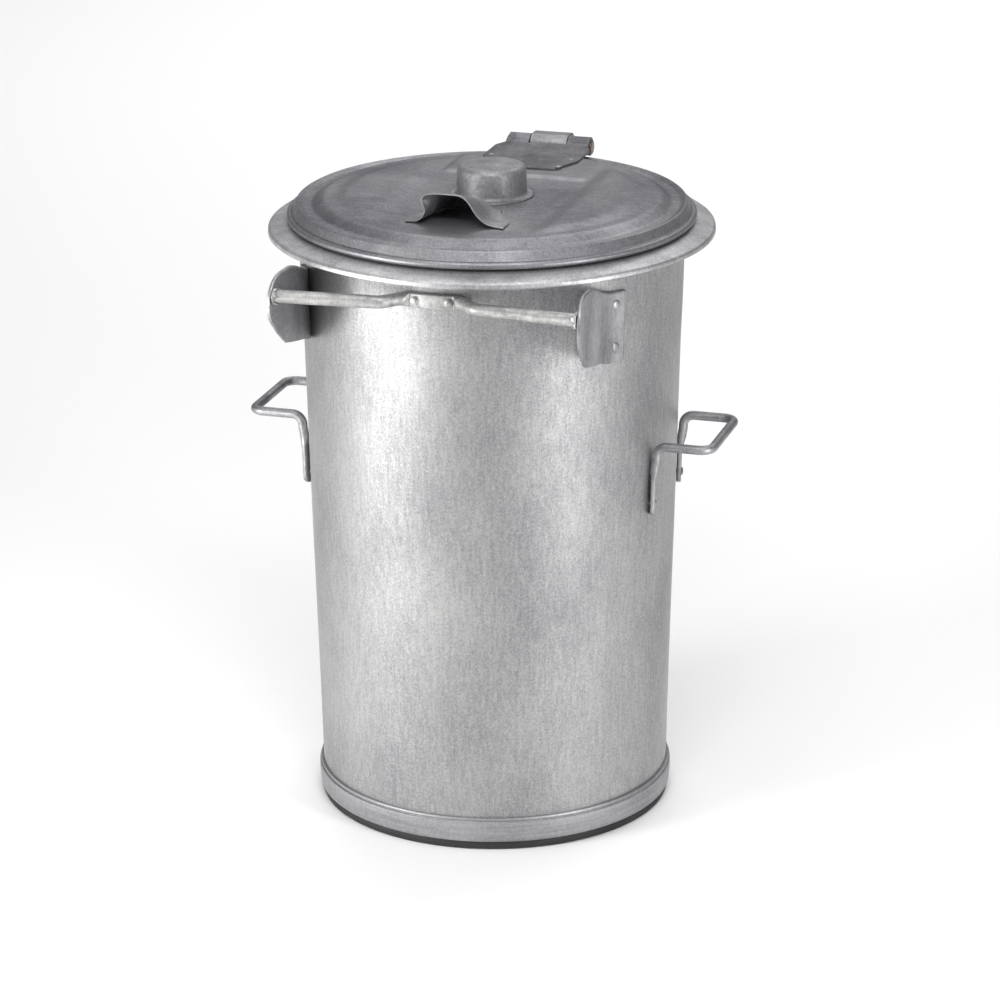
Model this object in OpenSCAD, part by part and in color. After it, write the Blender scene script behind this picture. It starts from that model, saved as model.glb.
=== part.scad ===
// Round galvanised steel waste can with a hinged lid, a lift bar held by two wing brackets,
// two fixed side handles and a rubber foot ring.
// Millimetres, +Z up, z = 0 is the floor. The lift bar is at -Y, the hinge at +Y, a handle at each X side.
// An angle round the can is counted from the front (-Y) towards +X.

/* [Can wall] */
// Height of the wall's top edge above the floor
can_h = 731; // [610:1:880]
// Outer radius of the wall at its top edge
top_r = 230.5; // [204:0.5:277]
// Outer radius of the wall at its bottom edge
base_r = 211.5; // [177:0.5:228]
// Thickness of the wall's sheet
wall_t = 1.5; // [1.2:0.1:2]
// Depth of the hem that is folded inward at the wall's top edge
hem_h = 6; // [4:0.5:10]

/* [Rim flange] */
// How far the flange stands out from the wall
flange_w = 36; // [30:0.5:44]
// Thickness of the flange's sheet
flange_t = 1.6; // [1.2:0.1:2.2]
// Height from the flange's rolled lip up to the wall's top edge
flange_drop = 18; // [15:0.5:22]
// Length of the flange's neck down the outside of the wall
neck_h = 12; // [9:0.5:16]

/* [Base] */
// Height of the rubber foot ring
foot_h = 10.4; // [8:0.1:13]
// Radial width of the rubber foot ring
foot_w = 11; // [9:0.5:14]
// Height of the steel base hoop
hoop_h = 30; // [24:0.5:36]
// Thickness of the hoop's turned-in bottom lip
hoop_lip = 3; // [2:0.5:4]
// How far the hoop stands out from the wall's bottom edge
hoop_out = 6; // [5:0.5:8]
// Height of the floor above the wall's bottom edge
floor_rise = 20; // [16:0.5:26]
// Thickness of the floor's sheet
floor_t = 1.8; // [1.5:0.1:2.5]

/* [Lid] */
// How far the lid's rolled edge reaches past the wall
lid_over = 13.2; // [11:0.1:16]
// Thickness of the lid's sheet
lid_t = 1.2; // [1:0.1:1.6]
// Radius of the rolled edge's section
bead_r = 4.2; // [3.8:0.1:5]
// Gap between the rolled edge and the flange
lid_gap = 1.5; // [0.6:0.1:2.5]
// Height of the lid's raised border above the rolled edge's underside
border_h = 19; // [16:0.5:22]
// Height of the lid's flat centre above the rolled edge's underside
crown_h = 25; // [22:0.5:30]
// Width of the lid's border and low ring, from its edge to the flat centre
border_w = 37.7; // [34:0.1:46]
// Distance of each side panel's straight edge from the middle
panel_x = 102; // [94:0.5:120]
// Distance from the flat centre's edge to the side panels' curved edge
panel_in = 26; // [18:0.5:34]
// Height of the side panels above the flat centre
panel_up = 4.5; // [2:0.5:7]
// Height of the hinge seat above the flat centre
seat_up = 2.5; // [2:0.5:4]

/* [Lid boss and grip] */
// Outer radius of the boss
boss_r = 41.5; // [34:0.5:50]
// Height of the boss above the lid
boss_h = 38.5; // [32:0.5:46]
// Width of the boss's flat foot round its side
boss_foot = 7; // [5:0.5:10]
// Thickness of the boss's and the grip's sheet
press_t = 1.5; // [1.2:0.1:2]
// Distance of the grip's mouth from the middle
grip_y = 152; // [140:0.5:165]
// Length of the grip from front to back
grip_len = 76; // [64:0.5:90]
// Height of the grip's mouth
grip_h = 38; // [32:0.5:44]
// Width of the grip across its top
grip_top_w = 45; // [40:0.5:54]
// Width of the grip at the foot of its sides
grip_base_w = 64; // [56:0.5:72]
// Width over the grip's two feet
grip_foot_w = 118; // [100:0.5:130]

/* [Hinge] */
// Radius of the hinge pin
pin_r = 6; // [5:0.1:7]
// Outer radius of the knuckles
knuckle_r = 13; // [11:0.1:15.6]
// Width of the can's middle knuckle and its strap
middle_w = 47.4; // [40:0.2:60]
// Length of each outer knuckle on the lid
outer_w = 27.5; // [20:0.5:34]
// Thickness of the lid's hinge leaf
leaf_t = 3; // [2:0.5:3.5]
// Width of the hinge leaf
leaf_w = 120; // [112:1:150]
// Thickness of the can's hinge strap
strap_t = 4; // [3:0.5:5]
// Height of the strap's foot on the wall
strap_foot = 58; // [46:1:80]

/* [Lift bar and wings] */
// Radius of the lift bar
bar_r = 7.75; // [6.5:0.25:9]
// Depth of the lift bar's axis below the wall's top edge
bar_drop = 45; // [40:0.5:52]
// How far the bar's ends stand out in front of the wall
bar_out = 32; // [28:0.5:38]
// Width of the plate at the bar's middle
bar_plate_w = 58; // [52:0.5:68]
// Height of that plate
bar_plate_h = 17; // [14:0.5:20]
// Thickness of that plate
bar_plate_t = 8; // [6:0.5:9]
// Distance from the middle to each wing's inner face
wing_x = 178; // [148:0.5:188]
// Thickness of the wings
wing_t = 4; // [3:0.5:5]
// Height of the wings where they lie on the wall
wing_h = 84; // [78:1:96]
// How far the wings' top edge rises toward the front
wing_rise = 25; // [18:0.5:28]

/* [Side handles] */
// Radius of the handles' rod
rod_r = 5.5; // [4.5:0.25:7]
// Height of the handles above the floor
handle_z = 478; // [380:1:560]
// How far the handles' rod stands out from the wall
handle_out = 62.5; // [50:0.5:75]
// Distance between the handles' two legs
handle_span = 128; // [110:1:150]
// Radius of the handles' corners
handle_bend = 16; // [12:0.5:30]
// Length of the handles' flattened feet
handle_foot = 64; // [54:1:80]

/* [Hidden] */
$fn = 96;

zinc = "#b9bdc2";
lid_zinc = "#85868d";
bar_zinc = "#c9ccd0";
rubber = "#1b1b1d";
pin_steel = "#7a6a5c";

fit = 0.1;                  // gap between pieces that are fixed to each other
run = 0.06;                 // radial gap between the hinge pin and the knuckle that turns on it
eps = 0.02;                 // radial gap round a shank or a wire that is held tight
air = 0.8;                  // side gap between neighbouring knuckles
weld_in = 0.5;              // gap in a weld ring that leaves room for the bar's slant

// The wall is a cone; these give its radius and its slope.
wall_z0 = foot_h + hoop_lip + fit;
taper_k = (top_r - base_r) / (can_h - wall_z0);
taper = atan(taper_k);
function wall_r(z) = base_r + taper_k * (z - wall_z0);

// The flange's top falls away outward; the lid's edge stands over it.
flange_top = can_h - 4.2;
flange_fall = 0.238;
lip_z = can_h - flange_drop;
neck_z = lip_z - neck_h;
flange_r = top_r + flange_w;
lid_r = top_r + lid_over;
crown_r = lid_r - border_w;
panel_r = crown_r - panel_in;
bead_mid_r = lid_r - bead_r;
function flange_z(r) = flange_top - flange_fall * (r - top_r - 5.5);
bead_z = flange_z(bead_mid_r) + lid_gap + bead_r;
lid_z = bead_z - bead_r + crown_h;
border_z = bead_z - bead_r + border_h;
seat_z = lid_z + seat_up;

// Hinge: its axis stands just outside the lid's edge, level with the lid's top.
hinge_y = lid_r - 6.7 + knuckle_r;
hinge_z = lid_z + 0.5;
back_y = flange_r + 7.5;
notch_y = hinge_y - knuckle_r - 3.5;
pin_half = middle_w / 2 + air + outer_w;

// Lift bar
bar_z = can_h - bar_drop;
wing_z1 = bar_z - 2;
wing_z0 = wing_z1 - wing_h;
bar_end_y = top_r + bar_out;
wing_tip = bar_end_y + 11.5;
wing_a0 = asin(wing_x / (top_r + wing_t));
wing_a1 = wing_a0 + 8.8;
wing_rivet_a = wing_a1 - 3.5;

// Side handles
handle_x = wall_r(handle_z) + handle_out;
leg_out = rod_r + 0.6;
leg_bend = 2 * rod_r + 2;
handle_a = asin(handle_span / 2 / (wall_r(handle_z) + leg_out));
foot_t = 6;
foot_top = handle_z - leg_bend - 8;
leg_z0 = foot_top - 1;      // middle of the rod's round lower end
handle_rivet_z = [foot_top - 12, foot_top - 51 * handle_foot / 64];

// Rivets: head radius, head height, shank radius
big = [5.5, 3, 3.2];
mid = [5, 2.6, 2.8];
small = [4.2, 1.6, 2];

bar_rivet_x = 20;
bracket_rivet_x = 14;
strap_z1 = neck_z - 26;
strap_z0 = strap_z1 - strap_foot;
bracket_rivet_z = [strap_z1 - 14, strap_z0 + 12];
wing_rivet_z = [wing_z1 - 14, wing_z0 + 19];
leaf_y0 = hinge_y - 132;
leaf_spots = [[0, leaf_y0 + 7], [45, leaf_y0 + 9], [-45, leaf_y0 + 9], [51, leaf_y0 + 45], [-51, leaf_y0 + 45]];
grip_back = grip_y - grip_len;
grip_spots = [for (s = [-1, 1], d = [[48, 10], [42, 44]]) [s * d[0] * grip_foot_w / 118, -grip_y + d[1]]];

// ---- Shape helpers ----

function unit(v) = v / norm(v);
function left_of(v) = [-v[1], v[0]];
function reversed(v) = [for (i = [len(v) - 1 : -1 : 0]) v[i]];

// A line of points moved sideways by d, with mitred corners.
function beside(p, d) = [for (i = [0 : len(p) - 1])
    let (a = i == 0 ? unit(p[1] - p[0]) : unit(p[i] - p[i - 1]),
        b = i == len(p) - 1 ? a : unit(p[i + 1] - p[i]),
        n = unit(left_of(a) + left_of(b)))
    p[i] + n * d / (n * left_of(a))];

// Outline of a bent sheet: its line of points, and the same line moved by the thickness.
function sheet(p, t) = concat(p, reversed(beside(p, t)));

function arc(c, r, a0, a1, n = 6) = [for (i = [0 : n])
    let (a = a0 + (a1 - a0) * i / n) [c[0] + r * cos(a), c[1] + r * sin(a)]];

module ring(points) {
    rotate_extrude($fn = 180) polygon(points);
}

// Extrudes a side view (y across, z up) along X, centred.
module across(w) {
    rotate([90, 0, 90]) linear_extrude(w, center = true) children();
}

// A solid cone that follows the wall's outer face, grown by g.
module wall_cone(g, z0, z1) {
    translate([0, 0, z0]) cylinder(h = z1 - z0, r1 = wall_r(z0) + g, r2 = wall_r(z1) + g, $fn = 180);
}

// Puts its children on the wall's outer face: -Y points out of the wall, Z up its slope.
module on_wall(a, z) {
    rotate([0, 0, a]) translate([0, -wall_r(z), z]) rotate([taper, 0, 0]) children();
}

module both_sides() {
    children();
    mirror([1, 0, 0]) children();
}

// A round rod in the XY plane from p over the corner q to the plane x = end_x, mitred at the corner.
module cranked_rod(p, q, s, end_x, r) {
    a = atan2(q[1] - p[1], q[0] - p[0]);
    b = atan2(s[1] - q[1], s[0] - q[0]);
    long = norm(s - q) + 30;
    intersection() {
        translate(p) rotate([0, 90, a]) cylinder(h = norm(q - p) + r, r = r);
        translate(q) rotate([0, 0, (a + b) / 2]) translate([-200, -50, -50]) cube([200, 100, 100]);
    }
    intersection() {
        translate(q) rotate([0, 90, b]) translate([0, 0, -r]) cylinder(h = long, r = r);
        translate(q) rotate([0, 0, (a + b) / 2]) translate([0, -50, -50]) cube([400, 100, 100]);
        translate([end_x - 300, -500, -50]) cube([300, 500, 100]);
    }
}

// A domed rivet head on z = 0, pointing up.
module dome(size) {
    ball = (size[0] * size[0] + size[1] * size[1]) / (2 * size[1]);
    intersection() {
        translate([0, 0, size[1] - ball]) sphere(ball);
        cylinder(h = size[1] + 1, r = size[0] + 1);
    }
}

// A rivet along Z: its head sits at z = stack, its shank goes down to z = 0 and ends in a flat shop head.
module rivet(size, stack) {
    translate([0, 0, stack]) dome(size);
    translate([0, 0, -0.15]) cylinder(h = stack + 0.15, r = size[2]);
    translate([0, 0, -1.65]) cylinder(h = 1.5, r = size[2] * 1.5);
}

// A rivet through the wall and a piece of thickness t that lies on it.
module wall_rivet(size, t) {
    translate([0, wall_t, 0]) rotate([90, 0, 0]) rivet(size, wall_t + fit + t + 0.05);
}

module wall_hole(size) {
    translate([0, 12, 0]) rotate([90, 0, 0]) cylinder(h = 36, r = size[2] + eps);
}

// Where the rivets are; the same places drill the holes.
module at_bar_rivets() {
    for (s = [-1, 1]) on_wall(s * asin(bar_rivet_x / wall_r(bar_z)), bar_z) children();
}

module at_wing_rivets() {
    for (s = [-1, 1], z = wing_rivet_z) on_wall(s * wing_rivet_a, z) children();
}

module at_handle_rivets() {
    for (side = [-90, 90], s = [-1, 1], z = handle_rivet_z) on_wall(side + s * handle_a, z) children();
}

module at_bracket_rivets() {
    for (s = [-1, 1], z = bracket_rivet_z) on_wall(180 + s * asin(bracket_rivet_x / wall_r(z)), z) children();
}

// ---- The can ----

module body_shell() {
    color(zinc) difference() {
        ring([[base_r, wall_z0], [top_r, can_h], [top_r - 2 * wall_t, can_h],
            [wall_r(can_h - hem_h) - 2 * wall_t, can_h - hem_h], [wall_r(can_h - hem_h) - wall_t, can_h - hem_h],
            [base_r - wall_t, wall_z0]]);
        at_bar_rivets() wall_hole(big);
        at_wing_rivets() wall_hole(big);
        at_handle_rivets() wall_hole(mid);
        at_bracket_rivets() wall_hole(big);
    }
}

// The flange's neck lies on the wall; its top slopes outward and ends in a rolled lip.
module rim_flange() {
    color(zinc) ring(sheet(concat(
        [[wall_r(neck_z) + fit, neck_z], [wall_r(can_h - 9) + fit, can_h - 9]],
        arc([top_r + 5.5, flange_top - 5], 5, 170, 100, 4),
        [[flange_r - 4.5, flange_z(flange_r - 4.5)]],
        arc([flange_r - 4.5, flange_z(flange_r - 4.5) - 4.6], 4.5, 70, 0, 5),
        [[flange_r, lip_z]]), -flange_t));
}

// Steel hoop round the wall's foot, with a stepped top edge and a lip turned in under the wall.
module base_hoop() {
    hoop_r = base_r + hoop_out;
    top = foot_h + hoop_h;
    color(zinc) ring([[base_r - foot_w + 2, foot_h], [hoop_r - 1.5, foot_h], [hoop_r, foot_h + 1.5],
        [hoop_r, top - 5], [hoop_r - 1.6, top - 4], [hoop_r - 2, top],
        [wall_r(top) + fit, top], [wall_r(wall_z0) + fit, wall_z0 - fit], [base_r - foot_w + 2, wall_z0 - fit]]);
}

// The floor's sheet is turned down at its edge and lies against the wall's inside.
module floor_pan() {
    top = wall_z0 + floor_rise;
    in_r = wall_r(top - 8) - wall_t - fit;
    color(zinc) ring(sheet(concat([[0, top - 1], [in_r - 40, top - 1]],
        arc([in_r - 8, top - 8], 8, 90, 4, 6), [[wall_r(wall_z0 + 2) - wall_t - fit, wall_z0 + 2]]), -floor_t));
}

module foot_ring() {
    out_r = base_r + 2.5;
    color(rubber) ring([[out_r - foot_w + 1, 0], [out_r - 1.5, 0], [out_r, 1.5], [out_r, foot_h - 1],
        [out_r - 1, foot_h - fit], [out_r - foot_w + 1, foot_h - fit], [out_r - foot_w, foot_h - 1],
        [out_r - foot_w, 1]]);
}

// ---- Lift bar ----

// The bar's middle is forged flat and riveted to the wall; its arms crank forward to the wings.
module lift_bar() {
    color(bar_zinc) difference() {
        union() {
            intersection() {
                wall_cone(fit + bar_plate_t, bar_z - bar_plate_h, bar_z + bar_plate_h);
                translate([0, -top_r, bar_z])
                    cube([bar_plate_w, 60, bar_plate_h], center = true);
            }
            both_sides() translate([0, 0, bar_z])
                cranked_rod([bar_plate_w / 2 - 3, -(wall_r(bar_z) + bar_r + 0.5)], [54, 9.5 - bar_end_y],
                    [wing_x, -bar_end_y], wing_x - fit, bar_r);
        }
        wall_cone(fit, bar_z - 2 * bar_plate_h, bar_z + 2 * bar_plate_h);
        at_bar_rivets() wall_hole(big);
    }
}

module bar_rivets() {
    color(bar_zinc) at_bar_rivets() wall_rivet(big, bar_plate_t);
}

// Fillet welds between the bar's ends and the wings.
module bar_welds() {
    color(bar_zinc) both_sides() translate([wing_x - fit, -bar_end_y, bar_z]) rotate([0, -90, 0])
        ring([[bar_r + weld_in, 0], [bar_r + 4, 0], [bar_r + 2.6, 3], [bar_r + weld_in, 5.5]]);
}

// ---- Wing brackets ----

// Each wing is one plate: a foot that hugs the wall and a web that stands forward to carry the bar.
module right_wing() {
    color(zinc) difference() {
        intersection() {
            union() {
                translate([wing_x, -wing_tip - 1, wing_z0 - 1])
                    cube([wing_t, wing_tip + 1 - top_r * cos(wing_a0) + 2, wing_h + wing_rise + 2]);
                intersection() {
                    wall_cone(fit + wing_t, wing_z0 - 1, wing_z1 + 1);
                    rotate([0, 0, wing_a1]) translate([-60, -top_r - 20, wing_z0 - 2]) cube([60, 60, wing_h + 4]);
                    translate([wing_x + 1, -top_r, wing_z0 - 2]) cube([60, top_r, wing_h + 4]);
                }
            }
            wing_side_view();
        }
        wall_cone(fit, wing_z0 - 3, wing_z1 + 3);
        at_wing_rivets() wall_hole(big);
    }
}

// The wing's outline seen from the side: its top rises to a round front, its lower edge slopes back to the wall.
module wing_side_view() {
    top = wing_z1 + wing_rise;
    across(2 * (top_r + 60)) polygon(concat(
        [[0, wing_z0], [0, wing_z1], [-(wing_tip - 141), wing_z1], [-(wing_tip - 59), top - 1]],
        arc([-(wing_tip - 34), top - 34], 34, 92, 215, 10),
        [[-(wing_tip - 43), wing_z0 + 21.6], [-(wing_tip - 102), wing_z0 + 9], [-(wing_tip - 132), wing_z0]]));
}

module left_wing() {
    mirror([1, 0, 0]) right_wing();
}

module wing_rivets() {
    color(zinc) at_wing_rivets() wall_rivet(big, wing_t);
}

// ---- Side handles ----

// A bail of round rod: two flattened feet on the wall, legs that bend outward, rounded corners.
module right_handle() {
    leg_y = (wall_r(handle_z) + leg_out) * sin(handle_a);
    leg_x = (wall_r(handle_z) + leg_out) * cos(handle_a);
    corner_x = handle_x - handle_bend;
    color(zinc) difference() {
        union() {
            for (s = [-1, 1]) {
                on_wall(90 + s * handle_a, foot_top - handle_foot) translate([0, -fit, 0]) foot_strip();
                translate([leg_x, s * leg_y, leg_z0]) cylinder(h = handle_z - leg_bend - leg_z0, r = rod_r);
                translate([leg_x, s * leg_y, leg_z0]) sphere(rod_r);
                translate([leg_x + leg_bend, s * leg_y, handle_z - leg_bend]) rotate([90, 0, 180])
                    rotate_extrude(angle = 90) translate([leg_bend, 0]) circle(rod_r, $fn = 48);
                translate([leg_x + leg_bend, s * leg_y, handle_z]) rotate([0, 90, 0])
                    cylinder(h = corner_x - leg_x - leg_bend, r = rod_r);
            }
            for (s = [-1, 1]) translate([corner_x, s * (leg_y - handle_bend), handle_z])
                rotate([0, 0, s > 0 ? 0 : -90])
                    rotate_extrude(angle = 90) translate([handle_bend, 0]) circle(rod_r, $fn = 48);
            translate([handle_x, -(leg_y - handle_bend), handle_z]) rotate([-90, 0, 0])
                cylinder(h = 2 * (leg_y - handle_bend), r = rod_r);
        }
        wall_cone(fit, foot_top - handle_foot - 20, handle_z + 20);
        at_handle_rivets() wall_hole(mid);
    }
}

// A flat strip with a round lower end, its back on y = 0, standing on z = 0.
module foot_strip() {
    w = 16;
    translate([-w / 2, -foot_t, w / 2]) cube([w, foot_t, handle_foot - w / 2]);
    translate([0, 0, w / 2]) rotate([90, 0, 0]) cylinder(h = foot_t, r = w / 2);
}

module left_handle() {
    mirror([1, 0, 0]) right_handle();
}

module handle_rivets() {
    color(zinc) at_handle_rivets() wall_rivet(mid, foot_t);
}

// ---- Hinge: the can's side ----

// A gooseneck strap: riveted to the wall, it goes round the flange and ends in the middle knuckle.
module hinge_bracket() {
    color(zinc) difference() {
        union() {
            across(middle_w) polygon(sheet(concat(
                [[hinge_y - 1, hinge_z + knuckle_r]],
                arc([back_y - 9, hinge_z + knuckle_r - 9], 9, 90, 0, 6),
                arc([back_y - 14, lip_z - 10], 14, 0, -48, 5),
                [[wall_r(strap_z1) + fit + strap_t - 1, strap_z1 - 2]]), -strap_t));
            translate([0, hinge_y, hinge_z]) rotate([0, 90, 0])
                cylinder(h = middle_w, r = knuckle_r, center = true);
            intersection() {
                wall_cone(fit + strap_t, strap_z0, strap_z1 + 10);
                translate([-middle_w / 2, 0, strap_z0]) cube([middle_w, top_r + 20, strap_foot + 4]);
            }
        }
        translate([0, hinge_y, hinge_z]) rotate([0, 90, 0])
            cylinder(h = middle_w + 2, r = pin_r + run, center = true);
        wall_cone(fit, strap_z0 - 10, can_h);
        at_bracket_rivets() wall_hole(big);
    }
}

module bracket_rivets() {
    color(zinc) at_bracket_rivets() wall_rivet(big, strap_t);
}

// ---- The lid ----

// Outlines of a side panel and of the hinge seat, each made smaller by d.
module panel_outline(d) {
    intersection() {
        circle(panel_r - d, $fn = 180);
        translate([panel_x + d, -panel_r]) square([panel_r, 2 * panel_r]);
    }
}

module seat_outline(d) {
    intersection() {
        circle(crown_r - 8 - d, $fn = 180);
        translate([-(panel_x - 14 - d), 90 + d]) square([2 * (panel_x - 14 - d), crown_r]);
    }
}

// One pressed sheet: rolled edge, sloping border, low ring, flat centre with raised panels.
module lid_shell() {
    color(lid_zinc) difference() {
        union() {
            ring_of_lid();
            translate([0, 0, lid_z - lid_t]) pressed(0, lid_t);
        }
        translate([0, 0, lid_z - lid_t - 1]) pressed(lid_t, 1);
        drill_lid();
    }
}

// The side panels and the hinge seat as solid steps, made smaller by d and thicker by t.
module pressed(d, t) {
    both_sides() linear_extrude(panel_up + t) panel_outline(d);
    linear_extrude(seat_up + t) seat_outline(d);
}

module ring_of_lid() {
    rotate_extrude($fn = 180) difference() {
        union() {
            translate([bead_mid_r, bead_z]) circle(bead_r, $fn = 48);
            polygon(sheet(concat(
                [[bead_mid_r + 1.6, bead_z + 3.4]],
                arc([lid_r - 12.5, border_z - 3], 3, 40, 100, 4),
                arc([lid_r - 20.5, border_z + 0.8], 4, 290, 270, 2),
                [[crown_r + 9, border_z - 3.2]],
                arc([crown_r - 1, lid_z - 3], 3, 50, 90, 3),
                [[0, lid_z]]), lid_t));
        }
        translate([bead_mid_r, bead_z]) circle(bead_r - lid_t - eps, $fn = 48);
    }
}

module drill_lid() {
    for (p = concat(grip_spots, leaf_spots))
        translate([p[0], p[1], lid_z - 10]) cylinder(h = 20, r = small[2] + eps);
}

// The wire that the lid's edge is rolled round.
module lid_edge_wire() {
    color(zinc) translate([0, 0, bead_z]) rotate_extrude($fn = 180)
        translate([bead_mid_r, 0]) circle(bead_r - lid_t - 2 * eps, $fn = 48);
}

// A deep-drawn cup with a flat foot, set in the middle of the lid.
module lid_boss() {
    z0 = lid_z + fit;
    z1 = lid_z + boss_h;
    color(lid_zinc) ring(sheet(concat(
        [[boss_r + boss_foot, z0 + press_t]],
        arc([boss_r + 4, z0 + press_t + 4], 4, 270, 180, 5),
        arc([boss_r - 6, z1 - 6], 6, 0, 90, 6),
        [[0, z1]]), press_t));
}

module boss_weld() {
    color(lid_zinc) ring([[boss_r + boss_foot + eps, lid_z + 0.05], [boss_r + boss_foot + 2.2, lid_z + 0.05],
        [boss_r + boss_foot + 1.4, lid_z + 0.9], [boss_r + boss_foot + eps, lid_z + press_t]]);
}

// A hood that is open to the front, where the fingers go in, with a flat foot at each side.
module lid_grip() {
    z0 = lid_z + fit;
    color(lid_zinc) difference() {
        union() {
            hood(0, 0);
            translate([0, 0, z0]) linear_extrude(press_t) polygon([
                [-grip_foot_w / 2, -grip_y + 4], [-grip_base_w / 2, -grip_y], [grip_base_w / 2, -grip_y],
                [grip_foot_w / 2, -grip_y + 4], [grip_foot_w / 2 - 8, -grip_back - 22],
                [grip_base_w / 2 - 4, -grip_back], [-grip_base_w / 2 + 4, -grip_back],
                [-grip_foot_w / 2 + 8, -grip_back - 22]]);
        }
        hood(press_t, 6);
        translate([-grip_base_w / 2 + 4, -grip_y - 1, z0 - 1]) cube([grip_base_w - 8, grip_len - 12, 3]);
        drill_lid();
    }
}

// The hood's solid, made smaller by d and longer to the front by f.
module hood(d, f) {
    front = grip_base_w / 2 - d;
    roof = grip_top_w / 2 - d;
    hull() {
        translate([0, -grip_y - f, lid_z + fit]) rotate([90, 0, 0]) linear_extrude(0.1)
            polygon([[-front, -d], [front, -d], [roof + 2, grip_h - 3 - d], [roof - 2, grip_h - d],
                [-roof + 2, grip_h - d], [-roof - 2, grip_h - 3 - d]]);
        translate([0, -grip_back - 8 - d, lid_z + fit]) rotate([90, 0, 0]) linear_extrude(0.1)
            polygon([[-front + 8, -d], [front - 8, -d], [roof - 4, 14 - d], [-roof + 4, 14 - d]]);
    }
}

module grip_rivets() {
    color(lid_zinc) for (p = grip_spots) translate([p[0], p[1], lid_z - lid_t])
        rivet(small, lid_t + fit + press_t + 0.05);
}

// ---- Hinge: the lid's side ----

// A plate riveted to the lid's seat; its back edge is rolled into the two outer knuckles.
module hinge_leaf() {
    out_x = pin_half;
    color(lid_zinc) difference() {
        union() {
            translate([0, 0, seat_z + fit]) linear_extrude(leaf_t) polygon([
                [-42, leaf_y0], [42, leaf_y0], [leaf_w / 2, leaf_y0 + 40], [leaf_w / 2, hinge_y - 30],
                [out_x, hinge_y - 16], [out_x, hinge_y], [-out_x, hinge_y], [-out_x, hinge_y - 16],
                [-leaf_w / 2, hinge_y - 30], [-leaf_w / 2, leaf_y0 + 40]]);
            both_sides() translate([middle_w / 2 + air, hinge_y, hinge_z]) rotate([0, 90, 0])
                cylinder(h = outer_w, r = knuckle_r);
        }
        translate([-middle_w / 2 - air, notch_y, hinge_z - 40]) cube([middle_w + 2 * air, 60, 80]);
        translate([0, hinge_y, hinge_z]) rotate([0, 90, 0])
            cylinder(h = 2 * pin_half + 2, r = pin_r + eps, center = true);
        for (p = leaf_spots) translate([p[0], p[1], seat_z - 1]) cylinder(h = 10, r = small[2] + eps);
    }
}

module leaf_rivets() {
    color(lid_zinc) for (p = leaf_spots) translate([p[0], p[1], seat_z - lid_t])
        rivet(small, lid_t + fit + leaf_t + 0.05);
}

// The pin has a round head at +X and a reduced tail at -X that the collar sits on.
module hinge_pin() {
    color(pin_steel) translate([0, hinge_y, hinge_z]) rotate([0, 90, 0]) {
        translate([0, 0, -pin_half - 0.3]) cylinder(h = 2 * pin_half + 0.4, r = pin_r);
        translate([0, 0, -pin_half - 5]) cylinder(h = 5, r = pin_r - 2);
        translate([0, 0, pin_half + fit]) cylinder(h = 2.5, r = pin_r + 3);
    }
}

module pin_collar() {
    color(pin_steel) translate([-pin_half - 0.35, hinge_y, hinge_z]) rotate([0, -90, 0])
        ring([[pin_r - 2 + eps, 0], [pin_r + 3, 0], [pin_r + 3, 1.8], [pin_r + 2.2, 2.6], [pin_r - 2 + eps, 2.6]]);
}

body_shell();
rim_flange();
base_hoop();
floor_pan();
foot_ring();
lift_bar();
bar_rivets();
bar_welds();
left_wing();
right_wing();
wing_rivets();
left_handle();
right_handle();
handle_rivets();
hinge_bracket();
bracket_rivets();
lid_shell();
lid_edge_wire();
lid_boss();
boss_weld();
lid_grip();
grip_rivets();
hinge_leaf();
leaf_rivets();
hinge_pin();
pin_collar();
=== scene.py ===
import bpy
import numpy as np
from mathutils import Matrix, Vector


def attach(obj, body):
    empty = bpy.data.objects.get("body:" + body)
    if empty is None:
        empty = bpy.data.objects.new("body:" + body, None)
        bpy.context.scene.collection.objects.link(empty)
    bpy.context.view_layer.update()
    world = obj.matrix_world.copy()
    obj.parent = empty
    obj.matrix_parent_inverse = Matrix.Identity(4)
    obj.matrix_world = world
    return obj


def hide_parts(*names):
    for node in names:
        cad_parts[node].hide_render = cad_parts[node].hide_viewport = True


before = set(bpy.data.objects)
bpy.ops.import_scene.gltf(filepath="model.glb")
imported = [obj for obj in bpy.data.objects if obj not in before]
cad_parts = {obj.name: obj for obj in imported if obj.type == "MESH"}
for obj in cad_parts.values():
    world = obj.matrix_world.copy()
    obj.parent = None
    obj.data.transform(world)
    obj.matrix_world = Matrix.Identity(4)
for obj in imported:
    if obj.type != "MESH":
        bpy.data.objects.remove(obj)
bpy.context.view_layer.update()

# ---- The can's wall ----
# One tapering sheet of 1.5 mm steel, rolled up, seam-welded at the back right and dipped in molten zinc.
# Its top edge is folded inward as a hem. Every other piece of the can is fixed to it.

WALL_FOOT_R, WALL_TOP_R = 211.5, 230.5      # outer radii, in millimetres as all sizes here
WALL_FOOT, WALL_TOP = 13.5, 731.0
WALL_T = 1.5
WALL_SEAM = np.radians(141)                 # counted from the front towards +X, as every angle here


def wall_r(z):
    """Outer radius of the wall at height z: a straight taper from its foot to its top edge."""
    return WALL_FOOT_R + (WALL_TOP_R - WALL_FOOT_R) * (z - WALL_FOOT) / (WALL_TOP - WALL_FOOT)


def unit(v):
    """Each vector of v divided by its own length."""
    return v / np.linalg.norm(v, axis=-1, keepdims=True)


def ease(t):
    """0 below 0, 1 above 1, and 3t^2 - 2t^3 between, which leaves and arrives level."""
    t = np.clip(t, 0, 1)
    return t * t * (3 - 2 * t)


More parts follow.
